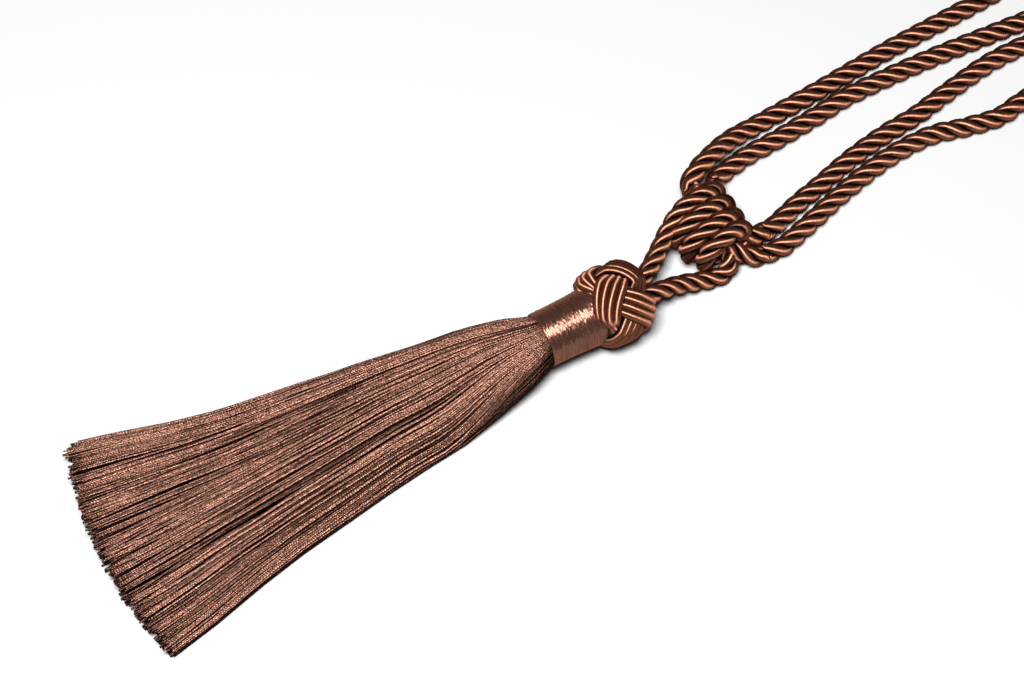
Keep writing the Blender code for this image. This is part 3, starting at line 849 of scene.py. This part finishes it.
def add_yarn(skin, rng, across, up, tone, lean, thickness, stations, corners):
    """One yarn from the neck to its cut end; it wanders from its place the more the skirt opens."""
    cut = RAGGED * min(0.9, rng.normal(0.0, 0.7))
    length = SKIRT_LENGTH - END_SLANT * across - END_BOW * across * across + cut
    distance = -YARN_ROOT + (length + YARN_ROOT) * np.linspace(0.0, 1.0, stations) ** 1.12
    share = distance / SKIRT_LENGTH
    loose = smooth_step(distance / LOOSE_AT)
    drift = (lean + rng.normal(0.0, 0.018)) * share + rng.normal(0.0, 0.012) * share * share
    drift = drift + SIDE_WAVER * waver(rng, distance, SIDE_RATES) * loose
    place = across + drift + clumped(distance, across)
    rise = up + RISE_WAVER * waver(rng, distance, RISE_RATES) * loose
    swell = 0.80 + 0.20 * smooth_step(distance / FULL_AT)
    radius = thickness * YARN_RADIUS * rng.uniform(0.85, 1.12) * swell
    line = skirt_points(distance, np.clip(place, -1.0, 1.0), np.clip(rise, -1.0, 1.0), YARN_RADIUS)
    skin.tube(line, YARN_OUT, radius, radius, corners, tone=shown_tone(tone, share, up))


def build_skirt():
    """Two pieces: the buried yarns in few points, and the yarns that show in many."""
    rng = np.random.default_rng(11)
    skins = [Skin(), Skin()]
    for level, (rows, stations, corners) in enumerate(((BURIED_ROWS, 11, 4), (SURFACE_ROWS, 24, 8))):
        for up, count, low, high in rows:
            together = 0
            for column in range(count):
                if together == 0:  # a few neighbours lean the same way, and cross the next few
                    together = rng.integers(1, 5)
                    lean = rng.normal(0.0, GROUP_LEAN) if level else 0.0
                    lift = rng.uniform(-GROUP_LIFT, GROUP_LIFT)
                together -= 1
                across = -1.0 + 2.0 * (column + 0.5 + rng.uniform(-0.45, 0.45)) / count
                height = min(1.0, max(-1.0, up + lift + rng.uniform(-0.03, 0.03)))
                lean_here = lean * (1.0 - across * across)
                tone, thickness = rng.uniform(low, high), 1.0
                if level and rng.uniform() < PAINTED_GAP_SHARE:  # a thin dark yarn is painted shade standing for a gap
                    tone, thickness = PAINTED_GAP_TONE, PAINTED_GAP_THICKNESS
                add_yarn(skins[level], rng, across, height, tone, lean_here, thickness, stations, corners)
    return [
        skins[0].piece("skirt_yarns_below", YARN, "skirt_yarn"),
        skins[1].piece("skirt_yarns_above", YARN, "skirt_yarn"),
    ]


skirt = build_skirt()
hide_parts("tassel_skirt")
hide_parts("tassel_skirt")

# ---- floor and light ---------------------------------------------------------------------------------

FLOOR_HALF_SIZE = 4.0
FLOOR_Z = -0.0001
FLOOR_GREY = 0.29
KEY_BACK, KEY_LEFT, KEY_HEIGHT = 0.50, 0.15, 1.7
KEY_SIZE = (0.62, 0.46)
KEY_WATTS = 120.0
SKY_STRENGTH = 0.08


def build_floor():
    mesh = bpy.data.meshes.new("floor")
    s, z = FLOOR_HALF_SIZE, FLOOR_Z
    mesh.from_pydata([(-s, -s, z), (s, -s, z), (s, s, z), (-s, s, z)], [], [(0, 1, 2, 3)])
    n = Nodes("floor")
    n.set(Base_Color=(*[FLOOR_GREY] * 3, 1.0), Roughness=0.8, Specular_IOR_Level=0.1)
    mesh.materials.append(n.material)
    link(bpy.data.objects.new("floor", mesh))


def build_lights():
    """A softbox above the camera and a little to its left, and a weak white sky."""
    data = bpy.data.lights.new("key_softbox", "AREA")
    data.shape = "RECTANGLE"
    data.size, data.size_y = KEY_SIZE
    data.energy = KEY_WATTS
    key = link(bpy.data.objects.new("key_softbox", data))
    right = VIEW_FORWARD.cross(Vector((0, 0, 1)))
    key.location = VIEW_TARGET - VIEW_FORWARD * KEY_BACK - right * KEY_LEFT + Vector((0, 0, KEY_HEIGHT))
    key.rotation_euler = (VIEW_TARGET - key.location).to_track_quat("-Z", "Y").to_euler()
    world = bpy.data.worlds.new("world")
    bpy.context.scene.world = world
    world.use_nodes = True
    sky = world.node_tree.nodes["Background"]
    sky.inputs["Color"].default_value = (1.0, 1.0, 1.0, 1.0)
    sky.inputs["Strength"].default_value = SKY_STRENGTH


build_floor()
build_lights()
bpy.context.scene.view_settings.view_transform = "Standard"
